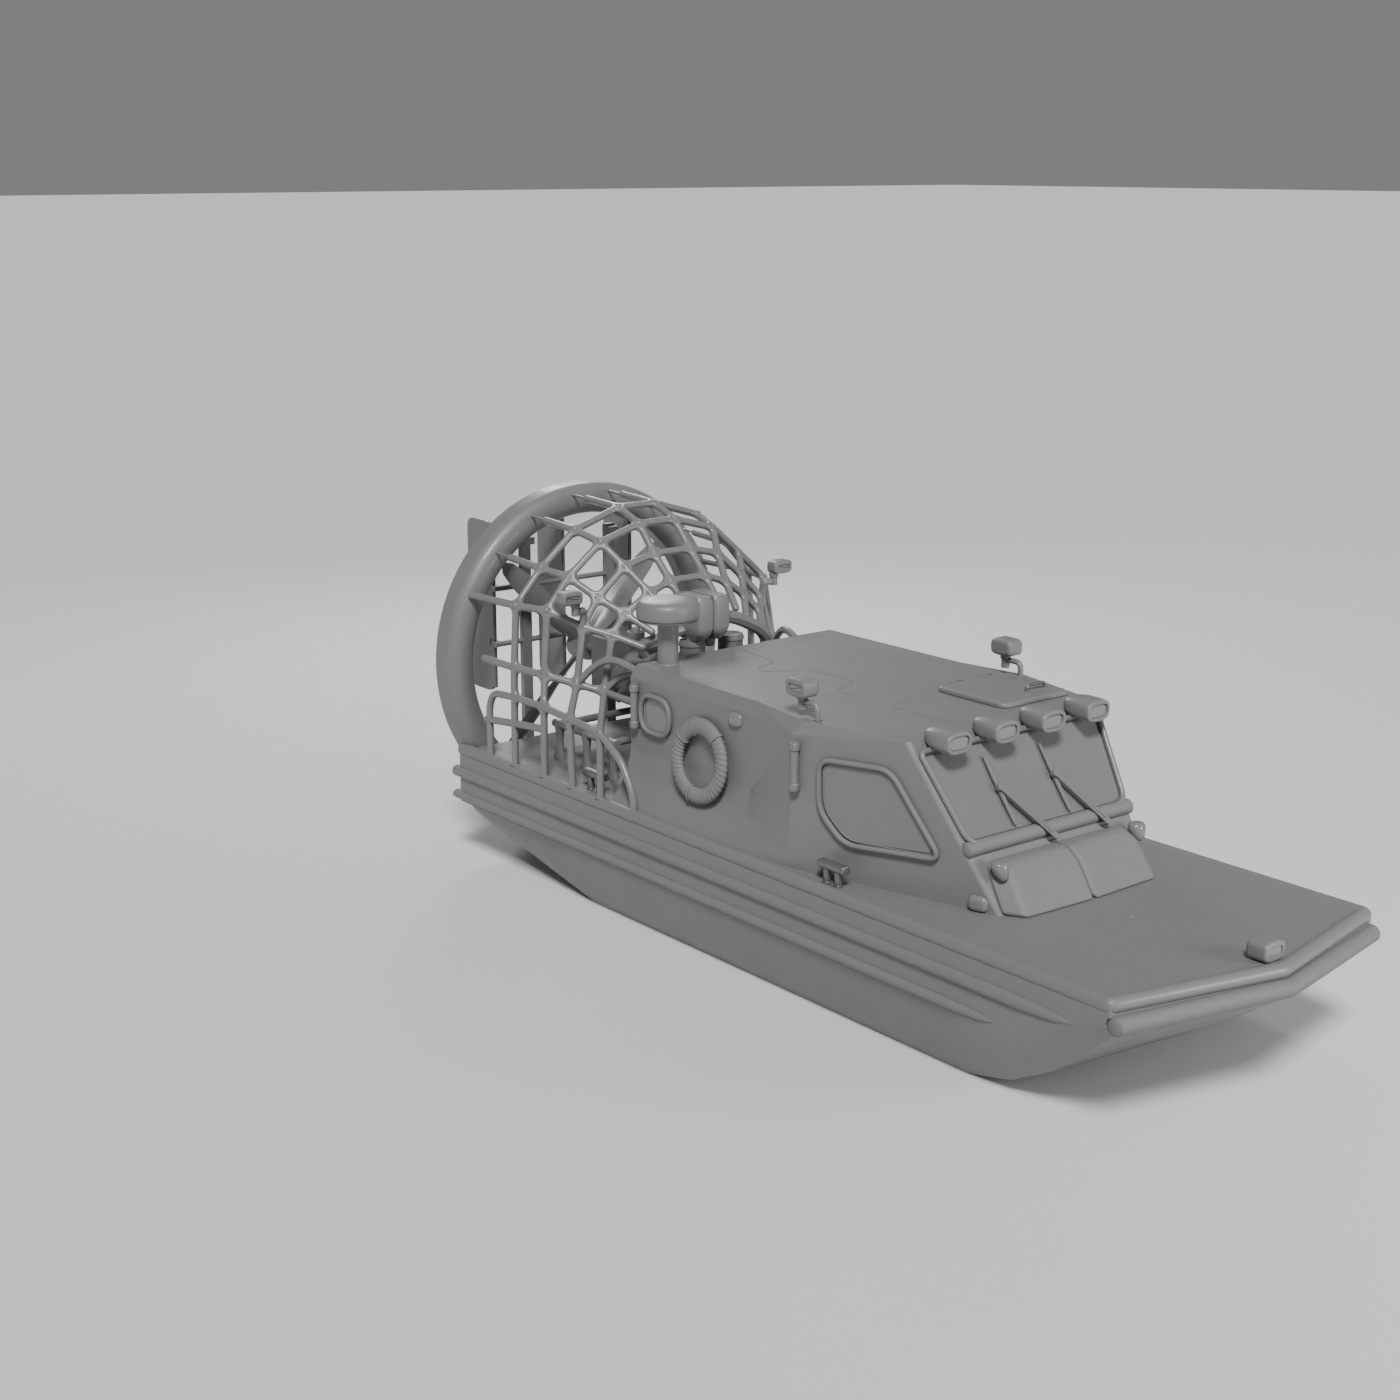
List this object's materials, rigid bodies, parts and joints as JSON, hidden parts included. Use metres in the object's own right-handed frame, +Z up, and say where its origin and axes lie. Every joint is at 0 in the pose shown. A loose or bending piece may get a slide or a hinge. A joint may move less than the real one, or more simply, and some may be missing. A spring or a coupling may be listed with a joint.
{
  "type": "airboat",
  "caption": "Shallow-draught boat with a flat sled hull, an enclosed cabin, and a caged rear engine that drives a ducted air propeller with rudders.",
  "frame": {"origin": "on the floor under the middle of the boat's overall length and width", "axes": "+X to the bow, +Y to port, +Z up"},
  "size_m": [7.944, 2.77, 3],
  "materials": {
    "hull": "satin",
    "cabin": "satin",
    "rubber": "matte",
    "glass": "tinted",
    "window_frame": "matte",
    "hood": "satin",
    "lamp": "satin",
    "deck_metal": "brushed",
    "buoy": "matte",
    "duct": "satin",
    "blade": "satin composite",
    "tube": "satin",
    "rudder": "satin",
    "engine": "satin"
  },
  "bodies": {
    "boat": {"aft_frame_l": "window_frame", "aft_frame_r": "window_frame", "aft_glass_l": "glass", "aft_glass_r": "glass", "air_cleaner": "lamp", "air_intake": "lamp", "bollard_aft_l": "deck_metal", "bollard_aft_r": "deck_metal", "bollard_fore_l": "deck_metal", "bollard_fore_r": "deck_metal", "bow_fender": "rubber", "bow_lamp": "lamp", "cabin": "cabin", "cage": "tube", "duct": "duct", "engine": "engine", "engine_stand": "tube", "gearbox": "engine", "hood_l": "hood", "hood_lamp_l": "lamp", "hood_lamp_r": "lamp", "hood_r": "hood", "hull": "hull", "lifebuoy": "buoy", "light_bar": "lamp", "rudder_frame": "tube", "searchlight_l": "lamp", "searchlight_r": "lamp", "side_frame_l": "window_frame", "side_frame_r": "window_frame", "side_glass_l": "glass", "side_glass_r": "glass", "windshield_frame": "window_frame", "windshield_glass": "glass", "wiper_l": "rubber", "wiper_r": "rubber", "work_light_l": "lamp", "work_light_r": "lamp"},
    "propeller": {"propeller": "blade"},
    "rudder_c": {"rudder_c": "rudder"},
    "rudder_r": {"rudder_r": "rudder"},
    "rudder_l": {"rudder_l": "rudder"},
    "cab_door": {"cab_door": "cabin"},
    "roof_hatch": {"roof_hatch": "cabin"}
  },
  "joints": [
    {"name": "propeller_spin", "type": "hinge", "parent": "boat", "child": "propeller", "pos_m": [-3.323, 0, 1.615], "axis": [1, 0, 0], "continuous": true},
    {"name": "rudder_c_turn", "type": "hinge", "parent": "boat", "child": "rudder_c", "pos_m": [-3.61, 0, 1.98], "axis": [0, 0, 1], "range_deg": [-30, 30]},
    {"name": "rudder_r_turn", "type": "hinge", "parent": "boat", "child": "rudder_r", "pos_m": [-3.61, -0.7, 1.98], "axis": [0, 0, 1], "range_deg": [-30, 30]},
    {"name": "rudder_l_turn", "type": "hinge", "parent": "boat", "child": "rudder_l", "pos_m": [-3.61, 0.7, 1.98], "axis": [0, 0, 1], "range_deg": [-30, 30]},
    {"name": "cab_door_hinge", "type": "hinge", "parent": "boat", "child": "cab_door", "pos_m": [-1.314, -0.373, 1.38], "axis": [0, 0, -1], "range_deg": [0, 90]},
    {"name": "roof_hatch_hinge", "type": "hinge", "parent": "boat", "child": "roof_hatch", "pos_m": [0.651, 0.61, 1.99], "axis": [0, -1, 0], "range_deg": [0, 105]}
  ],
  "couplings": [
    {"joint": "rudder_r_turn", "follows": "rudder_c_turn", "ratio": 1},
    {"joint": "rudder_l_turn", "follows": "rudder_c_turn", "ratio": 1}
  ]
}
